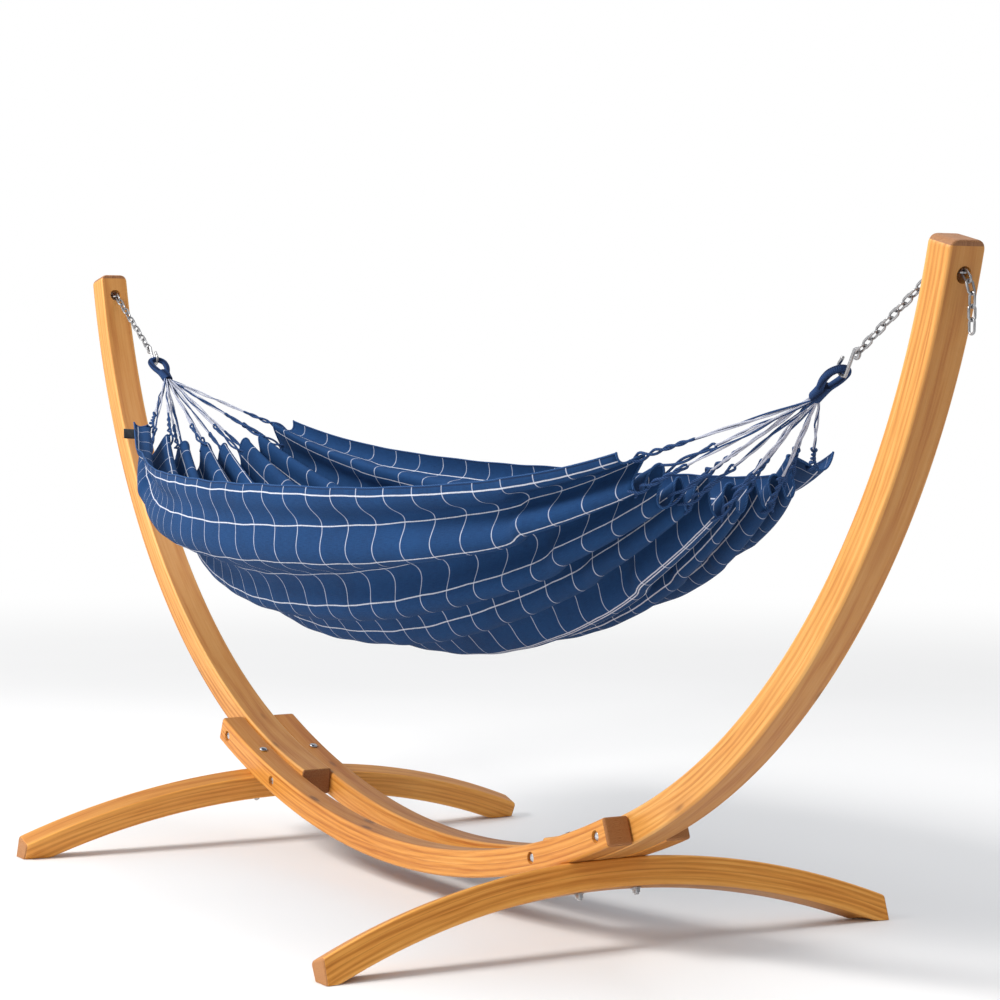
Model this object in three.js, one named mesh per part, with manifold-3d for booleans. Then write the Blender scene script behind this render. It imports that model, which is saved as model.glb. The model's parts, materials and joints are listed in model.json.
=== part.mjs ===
// Garden hammock hung in an arched stand of laminated wood.
// Millimetres, +Z up, +X along the stand, origin on the ground under the middle.
import * as THREE from "three";
import { mergeVertices } from "three/addons/utils/BufferGeometryUtils.js";
import Module from "manifold-3d";

const wasm = await Module();
wasm.setup();

// ---- driving dimensions ----
const GAP = 0.3; // air between pieces that touch
const EDGE = 6; // rounding of the wood's long edges
const ARM = {
  radius: 1600,
  x: 252.5,
  z: 1731,
  deep: 64,
  wide: 75,
  from: 10.9, // angles from straight down
  hole: 75.28,
  to: 77.36,
};
const BEAM = { radius: 2360, z: 2445, deep: 58, wide: 59, to: 22.05 };
const FOOT = { radius: 1652, deep: 60, wide: 54, half: 660, crown: 2.8, at: 17.6 };
const CROSS_BOLTS = { upper: 21.03, lower: 14.77 }; // places along the side beams, in degrees
const BOLT = { r: 5, hole: 5.6, head: 9.5, dome: 5, nut: 9, nutTall: 8, washer: 11, washerTall: 2 };
const SINK = { r: 12.5, deep: 7 }; // counterbores of the cross bolts
const HANG_HOLE = 15; // radius of the hole that the chain runs through
const LINK = { wire: 2.25, bend: 6.75, pitch: 21.5, bite: 0.4 };
const PIN = { r: 3, long: 62 };
const RUN_LINKS = 12;
const HANG_ANGLE = 33; // slope of the chains and suspension cords, in degrees
const HOOK = { wire: 3.5, eye: 8, bowl: 14, long: 64 };
const EYE = { rope: 7.5, bend: 20, straight: 14, neck: 30 };
const CORDS = { count: 13, r: 2.5, collar: 13 };
const EYE_TO_CLOTH = 440;
const CLOTH = {
  bottom: 545,
  thick: 2,
  halfMid: 530,
  halfEnd: 215,
  deepMid: 360,
  deepEnd: 70,
  wrap: 80,
};
const SIDES = 12; // sides of a round piece

const rad = THREE.MathUtils.degToRad;
const vec = (x, y, z) => new THREE.Vector3(x, y, z);

// ---- materials ----
const finish = (color, roughness, metalness = 0) =>
  new THREE.MeshStandardMaterial({ color, roughness, metalness });
const WOOD = finish(0xd08a3c, 0.5);
const STEEL = finish(0xc8cace, 0.35, 1);
const NAVY = finish(0x1c3f7c, 0.9);
const ROPE = finish(0x1a2f5c, 0.9);
const TAG = finish(0x2b2f33, 0.8);

// ---- solids ----
function toSolid(geometry) {
  const bare = geometry.clone();
  bare.deleteAttribute("normal");
  bare.deleteAttribute("uv");
  const merged = mergeVertices(bare, 1e-3);
  const vertProperties = merged.attributes.position.array;
  const triVerts = new Uint32Array(merged.index.array);
  return new wasm.Manifold(new wasm.Mesh({ numProp: 3, vertProperties, triVerts }));
}

function toGeometry(solid) {
  const made = solid.getMesh();
  const geometry = new THREE.BufferGeometry();
  geometry.setAttribute("position", new THREE.BufferAttribute(made.vertProperties, 3));
  geometry.setIndex(new THREE.BufferAttribute(made.triVerts, 1));
  geometry.computeVertexNormals();
  return geometry;
}

const joined = (geometries) =>
  toGeometry(geometries.map(toSolid).reduce((whole, piece) => whole.add(piece)));

const cut = (geometry, tools) =>
  toGeometry(tools.map(toSolid).reduce((whole, tool) => whole.subtract(tool), toSolid(geometry)));

// Turns a geometry's X, Y and Z axes to the given directions and moves its origin.
function place(geometry, x, y, origin) {
  const z = x.clone().cross(y);
  return geometry.applyMatrix4(new THREE.Matrix4().makeBasis(x, y, z).setPosition(origin));
}

// A round bar between two points.
function rod(radius, from, to, sides = SIDES) {
  const along = to.clone().sub(from);
  const turn = new THREE.Quaternion().setFromUnitVectors(vec(0, 1, 0), along.clone().normalize());
  return new THREE.CylinderGeometry(radius, radius, along.length(), sides)
    .applyQuaternion(turn)
    .translate(...from.clone().add(to).multiplyScalar(0.5).toArray());
}

// A turned piece: its profile of [radius, height] pairs stands on `base` and points along `up`.
function turned(profile, base, up, sides = SIDES) {
  const points = profile.map(([r, h]) => new THREE.Vector2(r, h));
  const turn = new THREE.Quaternion().setFromUnitVectors(vec(0, 1, 0), up.clone().normalize());
  return new THREE.LatheGeometry(points, sides).applyQuaternion(turn).translate(...base.toArray());
}

// ---- curved beams ----
// A laminated beam bent to a circle, between two angles measured from straight down.
function bentBeam({ radius, deep, wide }, from, to, segments, x, z) {
  const start = rad(from - 90);
  const end = rad(to - 90);
  const outline = new THREE.Shape();
  outline.absarc(0, 0, radius + deep / 2, start, end, false);
  outline.absarc(0, 0, radius - deep / 2, end, start, true);
  return extrudeRounded(outline, wide, segments).rotateX(Math.PI / 2).translate(x, 0, z);
}

// An outline given thickness about its own plane, with rounded edges.
function extrudeRounded(outline, wide, curveSegments) {
  const rounding = { bevelSize: EDGE, bevelThickness: EDGE, bevelOffset: -EDGE, bevelSegments: 2 };
  const depth = wide - 2 * EDGE;
  return new THREE.ExtrudeGeometry(outline, { depth, curveSegments, ...rounding }).translate(
    0,
    0,
    -depth / 2,
  );
}

// A point on the side beams' circle, `off` outside its centre line, on the right half.
function onBeam(degrees, off = 0) {
  const r = BEAM.radius + off;
  return vec(r * Math.sin(rad(degrees)), 0, BEAM.z - r * Math.cos(rad(degrees)));
}

const BEAM_Y = ARM.wide / 2 + GAP + BEAM.wide / 2;
const BEAM_FACE = BEAM_Y + BEAM.wide / 2;

// ---- feet ----
const FOOT_DOWN = vec(Math.sin(rad(FOOT.at)), 0, -Math.cos(rad(FOOT.at)));
const FOOT_SEAT = onBeam(FOOT.at, BEAM.deep / 2 + GAP);
const SEAT_HALF = Math.sqrt(2 * (FOOT.radius + FOOT.deep / 2) * FOOT.crown);

// Underside of the foot at a distance y from the middle, below its seat.
const footUnderside = (y) =>
  FOOT.radius + FOOT.deep / 2 - FOOT.crown - Math.sqrt((FOOT.radius - FOOT.deep / 2) ** 2 - y * y);

// The foot is an arch with a flat seat on its crown. It leans outwards, square to the side beams.
function footBody() {
  const top = FOOT.radius + FOOT.deep / 2;
  const low = FOOT.radius - FOOT.deep / 2;
  const centre = top - FOOT.crown;
  const angle = (radius, y) => Math.asin(y / radius) - Math.PI / 2;
  const outline = new THREE.Shape();
  outline.absarc(0, centre, top, angle(top, -FOOT.half), angle(top, -SEAT_HALF), false);
  outline.absarc(0, centre, top, angle(top, SEAT_HALF), angle(top, FOOT.half), false);
  outline.absarc(0, centre, low, angle(low, FOOT.half), angle(low, -FOOT.half), true);
  const body = extrudeRounded(outline, FOOT.wide, 7);
  return place(body, vec(0, 1, 0), FOOT_DOWN, FOOT_SEAT);
}

const floorBlock = () => new THREE.BoxGeometry(4000, 3000, 400).translate(0, 0, -200);

function footBolt(y) {
  const head = FOOT_SEAT.clone().addScaledVector(FOOT_DOWN, -BEAM.deep - 4 * GAP).setY(y);
  const under = FOOT_SEAT.clone().addScaledVector(FOOT_DOWN, footUnderside(y) + 4 * GAP).setY(y);
  return { head, under };
}

function foot() {
  const holes = [-BEAM_Y, BEAM_Y].map((y) => {
    const { head, under } = footBolt(y);
    return rod(BOLT.hole, head, under.addScaledVector(FOOT_DOWN, 20));
  });
  return cut(footBody(), [floorBlock(), ...holes]);
}

// ---- fasteners ----
// A domed bolt: `up` points out of the head, and the head's flat side lies on `base`.
function bolt(base, up, long) {
  const profile = [[0, -long], [BOLT.r, -long], [BOLT.r, 0], [BOLT.head, 0], [BOLT.head, 1.5]];
  for (const lift of [30, 60]) {
    profile.push([BOLT.head * Math.cos(rad(lift)), 1.5 + (BOLT.dome - 1.5) * Math.sin(rad(lift))]);
  }
  profile.push([0, BOLT.dome]);
  return turned(profile, base, up);
}

// A plain ring or, with six sides, a nut, standing on `base`.
function ring(outer, tall, base, up, sides) {
  const top = base.clone().addScaledVector(up, tall);
  const spill = up.clone().multiplyScalar(5);
  return cut(rod(outer, base, top, sides), [
    rod(BOLT.r + GAP, base.clone().sub(spill), top.clone().add(spill)),
  ]);
}

// ---- chain ----
const OUT = vec(Math.sin(rad(ARM.hole)), 0, -Math.cos(rad(ARM.hole))); // out through the arm
const DOWN_ARM = vec(-Math.cos(rad(ARM.hole)), 0, -Math.sin(rad(ARM.hole)));
const HOLE = vec(ARM.x + ARM.radius * OUT.x, 0, ARM.z + ARM.radius * OUT.z);
const ALONG = vec(-Math.cos(rad(HANG_ANGLE)), 0, -Math.sin(rad(HANG_ANGLE))); // to the hammock
const ABOVE = vec(-Math.sin(rad(HANG_ANGLE)), 0, Math.cos(rad(HANG_ANGLE)));
const LIP = HOLE.clone()
  .addScaledVector(OUT, -ARM.deep / 2 - 12)
  .addScaledVector(DOWN_ARM, HANG_HOLE - 9);
const PIN_AT = HOLE.clone();

// One link: a ring drawn out along `dir`. An upright link lies in the XZ plane.
function link(start, dir, upright) {
  const ringShape = new THREE.TorusGeometry(LINK.bend, LINK.wire, 6, 8);
  const points = ringShape.attributes.position;
  const stretch = LINK.pitch / 2 + LINK.wire - LINK.bend;
  for (let i = 0; i < points.count; i++) {
    const x = points.getX(i);
    if (Math.abs(x) > 1e-3) points.setX(i, x + Math.sign(x) * stretch);
  }
  const across = vec(0, 1, 0);
  const side = upright ? dir.clone().cross(across) : across;
  const middle = start.clone().addScaledVector(dir, LINK.pitch / 2);
  return place(ringShape, dir.clone(), side, middle);
}

// Where the next link starts: it turns about the one wire of the two that lies across the bend.
function nextStart(end, dir, nextDir, upright, slack) {
  const shift = LINK.wire + slack;
  return upright
    ? end.clone().addScaledVector(dir, -shift).addScaledVector(nextDir, LINK.wire)
    : end.clone().addScaledVector(dir, LINK.wire).addScaledVector(nextDir, -shift);
}

// Links one after another, each in its own direction, turned a quarter from the one before.
function chain(start, directions, firstUpright) {
  let at = start;
  let end = start;
  const links = directions.map((dir, i) => {
    const upright = firstUpright === (i % 2 === 0);
    const made = link(at, dir, upright);
    end = at.clone().addScaledVector(dir, LINK.pitch);
    at = nextStart(end, dir, directions[i + 1] ?? dir, upright, -LINK.bite);
    return made;
  });
  return { body: joined(links), end };
}

const towards = (from, to) => to.clone().sub(from).normalize();
const bent = (dir, degrees) => dir.clone().applyAxisAngle(vec(0, 1, 0), rad(degrees));

const inHole = towards(PIN_AT, LIP);
const anchorStart = PIN_AT.clone()
  .addScaledVector(inHole, -PIN.r - GAP - 2 * LINK.wire - LINK.pitch - LINK.bite);
const anchor = chain(anchorStart, [inHole, inHole, inHole], false);
const tailDirections = [bent(OUT, 30), bent(OUT, 55), vec(0, 0, -1), vec(0, 0, -1), vec(0, 0, -1)];
const TAIL_AT = nextStart(anchorStart, inHole.clone().negate(), tailDirections[0], false, GAP);
const tail = chain(TAIL_AT, tailDirections, true);
const RUN_AT = nextStart(anchor.end, inHole, ALONG, false, GAP);
const run = chain(RUN_AT, Array(RUN_LINKS).fill(ALONG), true);

// ---- hook, eye and suspension cords ----
const HOOK_AT = run.end.clone().addScaledVector(ALONG, -GAP);
const onLine = (a, b = 0) => HOOK_AT.clone().addScaledVector(ALONG, a).addScaledVector(ABOVE, b);

// An S-hook: a small closed eye on the chain, a slanting shank and an open bowl.
function hook() {
  const points = [];
  const eyeAt = HOOK.eye - HOOK.wire;
  for (let turn = -140; turn <= 120; turn += 20) {
    points.push(onLine(eyeAt - HOOK.eye * Math.cos(rad(turn)), HOOK.eye * Math.sin(rad(turn))));
  }
  const bowlAt = HOOK.long - HOOK.bowl;
  for (let turn = -90; turn <= 90; turn += 18) {
    points.push(onLine(bowlAt + HOOK.bowl * Math.cos(rad(turn)), HOOK.bowl * Math.sin(rad(turn))));
  }
  points.push(onLine(bowlAt - 8, HOOK.bowl + 2));
  const extrudePath = new THREE.CatmullRomCurve3(points, false, "centripetal");
  const section = new THREE.Shape().absarc(0, 0, HOOK.wire, 0, 2 * Math.PI, false);
  return new THREE.ExtrudeGeometry(section, { extrudePath, steps: 30, curveSegments: 4 });
}

const EYE_LONG = 2 * (EYE.bend + EYE.straight);
const EYE_NEAR = HOOK.long - HOOK.wire - GAP - EYE.rope; // centre line of the rope in the hook

// The rope eye that hangs in the hook, with the neck where the cords are bound together.
function eye() {
  const loop = new THREE.TorusGeometry(EYE.bend, EYE.rope, 8, 12);
  const points = loop.attributes.position;
  for (let i = 0; i < points.count; i++) {
    const x = points.getX(i);
    if (Math.abs(x) > 1e-3) points.setX(i, x + Math.sign(x) * EYE.straight);
  }
  place(loop, ALONG.clone(), vec(0, 1, 0), onLine(EYE_NEAR + EYE_LONG / 2));
  const neckAt = EYE_NEAR + EYE_LONG - 2;
  const neck = turned(
    [[0, 0], [15, 0], [CORDS.collar, EYE.neck], [0, EYE.neck]],
    onLine(neckAt),
    ALONG,
  );
  return { body: joined([loop, neck]), end: neckAt + EYE.neck };
}

const madeEye = eye();
const CLOTH_END = onLine(HOOK.long - HOOK.wire + EYE_TO_CLOTH);

// ---- cloth ----
// The cloth is a trough: u runs along it and v across it, both from -1 to 1.
function clothPoint(u, v) {
  const open = Math.cos((u * Math.PI) / 2);
  const half = CLOTH.halfEnd + (CLOTH.halfMid - CLOTH.halfEnd) * open;
  const deep = CLOTH.deepEnd + (CLOTH.deepMid - CLOTH.deepEnd) * open;
  const turn = rad(CLOTH.wrap);
  const y = (half * Math.sin(v * turn)) / Math.sin(turn);
  const rise = (deep * (1 - Math.cos(v * turn))) / (1 - Math.cos(turn));
  const sag = CLOTH.bottom + (CLOTH_END.z - CLOTH.bottom) * u * u;
  return vec(u * CLOTH_END.x, y, sag + rise);
}

function clothNormal(u, v) {
  const step = 1e-3;
  const alongU = clothPoint(u + step, v).sub(clothPoint(u - step, v));
  const alongV = clothPoint(u, v + step).sub(clothPoint(u, v - step));
  return alongU.cross(alongV).normalize();
}

// A closed shell: both faces of the cloth and the rim between them.
function cloth(rows, columns) {
  const position = [];
  const index = [];
  const stride = columns + 1;
  const face = (rows + 1) * stride;
  for (const side of [1, -1]) {
    for (let i = 0; i <= rows; i++) {
      for (let j = 0; j <= columns; j++) {
        const u = (2 * i) / rows - 1;
        const v = (2 * j) / columns - 1;
        const at = clothPoint(u, v).addScaledVector(clothNormal(u, v), (side * CLOTH.thick) / 2);
        position.push(at.x, at.y, at.z);
      }
    }
  }
  const quad = (a, b, c, d) => index.push(a, b, c, a, c, d);
  for (let i = 0; i < rows; i++) {
    for (let j = 0; j < columns; j++) {
      const a = i * stride + j;
      quad(a, a + stride, a + stride + 1, a + 1);
      quad(a + face, a + 1 + face, a + stride + 1 + face, a + stride + face);
    }
  }
  const rim = [];
  for (let i = 0; i < rows; i++) rim.push(i * stride);
  for (let j = 0; j < columns; j++) rim.push(rows * stride + j);
  for (let i = rows; i > 0; i--) rim.push(i * stride + columns);
  for (let j = columns; j > 0; j--) rim.push(j);
  rim.forEach((a, k) => {
    const b = rim[(k + 1) % rim.length];
    quad(a, a + face, b + face, b);
  });
  const geometry = new THREE.BufferGeometry();
  geometry.setAttribute("position", new THREE.Float32BufferAttribute(position, 3));
  geometry.setIndex(index);
  geometry.computeVertexNormals();
  return geometry;
}

// Suspension cords from the bound neck to points spread along the end of the cloth.
function cords() {
  const start = madeEye.end + GAP;
  const collar = rod(CORDS.collar, onLine(start), onLine(start + 6));
  const fan = [collar];
  for (let i = 0; i < CORDS.count; i++) {
    const v = (2 * (i + 0.5)) / CORDS.count - 1;
    const from = onLine(start + 3).setY((v * CORDS.collar) / 2);
    const edge = clothPoint(1, v);
    const clear = towards(edge, from).multiplyScalar(2 * CORDS.r + 2);
    fan.push(rod(CORDS.r, from, edge.add(clear), 6));
  }
  return joined(fan);
}

// The blank tag that stands out from the edge of the cloth near its corner.
function tag() {
  const corner = clothPoint(-0.95, -1);
  return new THREE.BoxGeometry(1, 30, 24).translate(corner.x, corner.y - 18, corner.z - 8);
}

// ---- wood with its holes ----
function arm() {
  const body = bentBeam(ARM, ARM.from, ARM.to, 11, ARM.x, ARM.z);
  const reach = OUT.clone().multiplyScalar(ARM.deep);
  const across = Object.values(CROSS_BOLTS).map((station) => {
    const at = onBeam(station);
    return rod(BOLT.hole, at.clone().setY(-200), at.clone().setY(200));
  });
  const pinHole = rod(
    PIN.r + GAP,
    PIN_AT.clone().setY(-PIN.long / 2 - 1),
    PIN_AT.clone().setY(100),
  );
  const through = rod(HANG_HOLE, HOLE.clone().sub(reach), HOLE.clone().add(reach), 20);
  return cut(body, [through, pinHole, ...across]);
}

function sideBeam(side) {
  const body = bentBeam(BEAM, -BEAM.to, BEAM.to, 8, 0, BEAM.z).translate(0, side * BEAM_Y, 0);
  const tools = [];
  for (const end of [-1, 1]) {
    for (const station of Object.values(CROSS_BOLTS)) {
      const at = onBeam(end * station);
      const face = at.clone().setY(side * (BEAM_FACE + 5));
      tools.push(rod(BOLT.hole, at, face));
      tools.push(rod(SINK.r, at.clone().setY(side * (BEAM_FACE - SINK.deep)), face, 16));
    }
    const lower = onBeam(end * FOOT.at, 60).setY(side * BEAM_Y);
    tools.push(rod(BOLT.hole, onBeam(end * FOOT.at, -60).setY(side * BEAM_Y), lower));
  }
  return cut(body, tools);
}

// ---- assembly ----
const group = new THREE.Group();
group.name = "hammock_on_stand";

function add(name, geometry, material, parent = group) {
  const mesh = new THREE.Mesh(geometry, material);
  mesh.name = name;
  parent.add(mesh);
}

add("side_beam_front", sideBeam(-1), WOOD);
add("side_beam_back", sideBeam(1), WOOD);

// Everything on the right, repeated on the left by mirroring.
for (const [name, mirror] of [["right", 1], ["left", -1]]) {
  const half = new THREE.Group();
  half.scale.x = mirror;
  group.add(half);
  add(`arm_${name}`, arm(), WOOD, half);
  add(`foot_${name}`, foot(), WOOD, half);

  const floorOfSink = BEAM_FACE - SINK.deep + GAP;
  for (const [level, station] of Object.entries(CROSS_BOLTS)) {
    const at = onBeam(station);
    const back = vec(0, 1, 0);
    const base = at.clone().setY(floorOfSink);
    const long = 2 * floorOfSink + BOLT.washerTall + BOLT.nutTall + GAP;
    const seat = base.clone().addScaledVector(back, BOLT.washerTall + GAP);
    const body = bolt(at.clone().setY(-floorOfSink), vec(0, -1, 0), long);
    const washer = ring(BOLT.washer, BOLT.washerTall, base, back, 16);
    const nut = ring(BOLT.nut, BOLT.nutTall, seat, back, 6);
    add(`cross_bolt_${level}_${name}`, body, STEEL, half);
    add(`cross_washer_${level}_${name}`, washer, STEEL, half);
    add(`cross_nut_${level}_${name}`, nut, STEEL, half);
  }

  for (const [side, y] of [["front", -BEAM_Y], ["back", BEAM_Y]]) {
    const { head, under } = footBolt(y);
    const long = head.distanceTo(under) + BOLT.washerTall + BOLT.nutTall + 4;
    const seat = under.clone().addScaledVector(FOOT_DOWN, BOLT.washerTall + GAP);
    const washer = ring(BOLT.washer, BOLT.washerTall, under, FOOT_DOWN, 16);
    const nut = ring(BOLT.nut, BOLT.nutTall, seat, FOOT_DOWN, 6);
    add(`foot_bolt_${side}_${name}`, bolt(head, FOOT_DOWN.clone().negate(), long), STEEL, half);
    add(`foot_washer_${side}_${name}`, washer, STEEL, half);
    add(`foot_nut_${side}_${name}`, nut, STEEL, half);
  }

  const pinEnd = PIN_AT.clone().setY(PIN.long / 2);
  add(`chain_pin_${name}`, rod(PIN.r, PIN_AT.clone().setY(-PIN.long / 2), pinEnd), STEEL, half);
  add(`chain_anchor_${name}`, anchor.body, STEEL, half);
  add(`chain_tail_${name}`, tail.body, STEEL, half);
  add(`chain_${name}`, run.body, STEEL, half);
  add(`hook_${name}`, hook(), STEEL, half);
  add(`eye_${name}`, madeEye.body, ROPE, half);
  add(`cords_${name}`, cords(), ROPE, half);
}

add("cloth", cloth(28, 12), NAVY);
add("tag", tag(), TAG);

export default group;
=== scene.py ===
"""The hammock on its arched stand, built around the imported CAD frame. Metres, +Z up, +X along the stand."""
import json
import math
import random

import bpy
import numpy as np
from mathutils import Matrix

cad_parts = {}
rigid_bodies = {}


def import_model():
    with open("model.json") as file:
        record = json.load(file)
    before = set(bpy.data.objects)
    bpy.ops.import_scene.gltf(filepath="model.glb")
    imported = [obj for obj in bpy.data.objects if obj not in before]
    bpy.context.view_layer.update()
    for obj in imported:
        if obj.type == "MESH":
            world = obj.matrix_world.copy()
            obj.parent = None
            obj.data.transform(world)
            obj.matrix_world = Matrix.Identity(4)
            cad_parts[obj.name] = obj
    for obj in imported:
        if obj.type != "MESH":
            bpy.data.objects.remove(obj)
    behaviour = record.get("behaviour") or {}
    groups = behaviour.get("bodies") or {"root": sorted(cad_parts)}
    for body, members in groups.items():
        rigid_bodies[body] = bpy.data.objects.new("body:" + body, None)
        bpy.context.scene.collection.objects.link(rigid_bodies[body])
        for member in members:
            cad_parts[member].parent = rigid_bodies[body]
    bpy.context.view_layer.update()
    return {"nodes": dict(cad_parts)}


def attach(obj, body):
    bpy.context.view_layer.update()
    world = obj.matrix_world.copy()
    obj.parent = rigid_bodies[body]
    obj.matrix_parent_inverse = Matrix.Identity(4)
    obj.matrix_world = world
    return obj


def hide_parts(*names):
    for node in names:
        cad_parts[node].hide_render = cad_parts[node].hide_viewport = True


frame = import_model()
in_scene = bpy.context.scene.collection.objects
SIDES = (("right", 1.0), ("left", -1.0))

# ---- camera: the photograph's viewpoint ----
YAW, PITCH, ROLL = (math.radians(a) for a in (59.7504, 2.9567, 0.2277))
CAMERA_AT = (5.6463, -3.1131, 1.1913)
LENS, SENSOR, FARTHEST = 105.41, 36.0, 300.0
camera = bpy.data.objects.new("camera", bpy.data.cameras.new("camera"))
in_scene.link(camera)
camera.data.lens, camera.data.sensor_width, camera.data.clip_end = LENS, SENSOR, FARTHEST
forward = np.array((-math.sin(YAW) * math.cos(PITCH), math.cos(YAW) * math.cos(PITCH), -math.sin(PITCH)))
level = np.array((math.cos(YAW), math.sin(YAW), 0.0))
upright = np.cross(level, forward)
cam_right = math.cos(ROLL) * level + math.sin(ROLL) * upright
cam_up = -math.sin(ROLL) * level + math.cos(ROLL) * upright
basis = np.eye(4)
basis[:3, :3] = np.array((cam_right, cam_up, -forward)).T
basis[:3, 3] = CAMERA_AT
camera.matrix_world = Matrix(basis.tolist())
bpy.context.scene.camera = camera

# ---- driving sizes, the same as the CAD's ----
MM = 0.001
Y = np.array((0.0, 1.0, 0.0))
# The tints are painted light: the same larch is made more orange on the side beams and brighter on the feet,
# to stand in for the different light those pieces get.
ARM = {"radius": 1.6, "x": 0.2525, "z": 1.731, "deep": 0.064, "wide": 0.075, "from": 10.9, "to": 77.36,
       "tint": (1.0, 0.97, 0.9)}
HOLE_AT = 75.28
BEAM = {"radius": 2.36, "z": 2.445, "deep": 0.058, "wide": 0.059, "to": 22.05, "tint": (0.98, 0.86, 0.62)}
BEAM_Y = 0.0673
BEAM_FACE = BEAM_Y + BEAM["wide"] / 2
FOOT = {"radius": 1.652, "deep": 0.060, "wide": 0.054, "half": 0.660, "crown": 0.0028, "at": 17.6,
        "tint": (1.2, 1.12, 0.85)}
CORNER_R, END_CORNER_R = 0.006, 0.004
# each end's corner radii, across the timber and through it
ARM_ENDS = ((0.004, 0.004), (0.017, 0.004))
BEAM_ENDS = ((0.007, 0.005), (0.007, 0.005))
FOOT_END_R = 0.005
CROSS_BOLTS = (21.03, 14.77)
CHAIN_HOLE_R, CHAIN_HOLE_HALF = 0.015, 0.06
PIN_HOLE_R, PIN_HOLE_FRONT, PIN_HOLE_BACK = 0.0033, 0.032, 0.1
THROUGH = 0.2
SINK_R, SINK_DEEP = 0.0125, 0.007
BOLT_R, BOLT_HOLE_R, HEAD_R = 0.005, 0.0056, 0.0093
HANG = math.radians(33)
GAP = 0.0003


def unit(v):
    """The vector at length one."""
    v = np.asarray(v, float)
    return v / np.linalg.norm(v)


def mirror(p, side):
    """A point of the right half, on the side asked for."""
    return np.asarray(p, float) * (side, 1.0, 1.0)


# ---- mesh building ----
class Soup:
    """Vertices, faces and UVs of one piece, gathered from its separate surfaces."""

    def __init__(self):
        self.verts, self.faces, self.uvs, self.slots, self.count = [], [], [], [], 0

    def add(self, verts, faces, uvs=None, slot=0):
        self.verts.append(np.asarray(verts, float))
        self.faces += [tuple(i + self.count for i in f) for f in faces]
        self.uvs += uvs if uvs else [[(0.0, 0.0)] * len(f) for f in faces]
        self.slots += [slot] * len(faces)
        self.count += len(verts)

    def make(self, name, materials, body, slot, nodes=(), side=1.0):
        verts = np.concatenate(self.verts) * (side, 1.0, 1.0)
        faces, uvs = self.faces, self.uvs
        if side < 0:
            faces = [f[::-1] for f in faces]
            uvs = [u[::-1] for u in uvs]
        mesh = bpy.data.meshes.new(name)
        mesh.from_pydata(verts.tolist(), [], faces)
        layer = mesh.uv_layers.new(name="UVMap")
        layer.data.foreach_set("uv", np.array([c for u in uvs for c in u], np.float32).ravel())
        mesh.polygons.foreach_set("material_index", self.slots)
        for m in materials:
            mesh.materials.append(m)
        mesh.shade_smooth()
        mesh.update()
        piece = bpy.data.objects.new(name, mesh)
        in_scene.link(piece)
        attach(piece, body)
        if nodes:
            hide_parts(*nodes)
        return piece


def grid_faces(rows, columns, closed):
    """Faces between `rows` rings of `columns` points, and for each the (row, column) of its corners."""
    faces, corners = [], []
    for i in range(rows if closed else rows - 1):
        k = (i + 1) % rows
        for j in range(columns):
            n = (j + 1) % columns
            faces.append((i * columns + j, i * columns + n, k * columns + n, k * columns + j))
            corners.append(((i, j), (i, j + 1), (i + 1, j + 1), (i + 1, j)))
    return faces, corners


def tube(soup, points, radius, sides=12, closed=False, normal=None, slot=0, round_ends=False):
    """A bar along the points. The radius is one number, or one per ring, or one per ring and side."""
    p = np.asarray(points, float)
    r = np.array(np.broadcast_to(np.asarray(radius, float).reshape(-1, 1) if np.ndim(radius) == 1
                                 else radius, (len(p), sides)))
    if round_ends:
        first, last = unit(p[0] - p[1]), unit(p[-1] - p[-2])
        turns = np.radians((75, 50, 25))
        p = np.concatenate([[p[0] + first * r[0, 0] * math.sin(t) for t in turns], p,
                            [p[-1] + last * r[-1, 0] * math.sin(t) for t in turns[::-1]]])
        r = np.concatenate([[r[0] * math.cos(t) for t in turns], r,
                            [r[-1] * math.cos(t) for t in turns[::-1]]])
    n = len(p)
    tangent = np.roll(p, -1, 0) - np.roll(p, 1, 0) if closed else np.gradient(p, axis=0)
    tangent /= np.linalg.norm(tangent, axis=1)[:, None]
    start = normal if normal is not None else (Y if abs(tangent[0][1]) < 0.9 else (1.0, 0.0, 0.0))
    normals = [unit(start - np.dot(start, tangent[0]) * tangent[0])]
    for t in tangent[1:]:
        normals.append(unit(normals[-1] - np.dot(normals[-1], t) * t))
    normals = np.array(normals)
    across = np.cross(tangent, normals)
    turn = 2 * np.pi * np.arange(sides) / sides
    ring = np.cos(turn)[None, :, None] * normals[:, None] + np.sin(turn)[None, :, None] * across[:, None]
    verts = (p[:, None] + r[..., None] * ring).reshape(-1, 3)
    faces, corners = grid_faces(n, sides, closed)
    steps = np.linalg.norm(np.diff(np.concatenate([p, p[:1]]), axis=0), axis=1)
    along = np.concatenate([[0.0], np.cumsum(steps)])
    uvs = [[(j / sides, along[i]) for i, j in c] for c in corners]
    if not closed:
        faces += [tuple(range(sides))[::-1], tuple(range((n - 1) * sides, n * sides))]
        uvs += [[(0.0, 0.0)] * sides] * 2
    soup.add(verts, faces, uvs, slot)


def turned(soup, profile, base, up, sides=40, closed=False):
    """A lathed piece: its profile of (radius, height) pairs, made six-sided where the radius is negative."""
    up = unit(up)
    side = unit(np.cross(up, Y)) if abs(up[1]) < 0.9 else np.array((1.0, 0.0, 0.0))
    across = np.cross(up, side)
    turn = 2 * np.pi * np.arange(sides) / sides
    hexagon = math.cos(math.pi / 6) / np.cos((turn + math.pi / 6) % (math.pi / 3) - math.pi / 6)
    verts = []
    for r, h in profile:
        radius = r * np.ones(sides) if r >= 0 else np.minimum(-r * hexagon, -r * 0.94)
        ring = radius[:, None] * (np.cos(turn)[:, None] * side + np.sin(turn)[:, None] * across)
        verts.append(np.asarray(base) + ring + up * h)
    faces, _ = grid_faces(len(profile), sides, closed)
    if not closed:
        last = (len(profile) - 1) * sides
        faces += [tuple(range(sides))[::-1], tuple(range(last, last + sides))]
    soup.add(np.concatenate(verts), faces)


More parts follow.
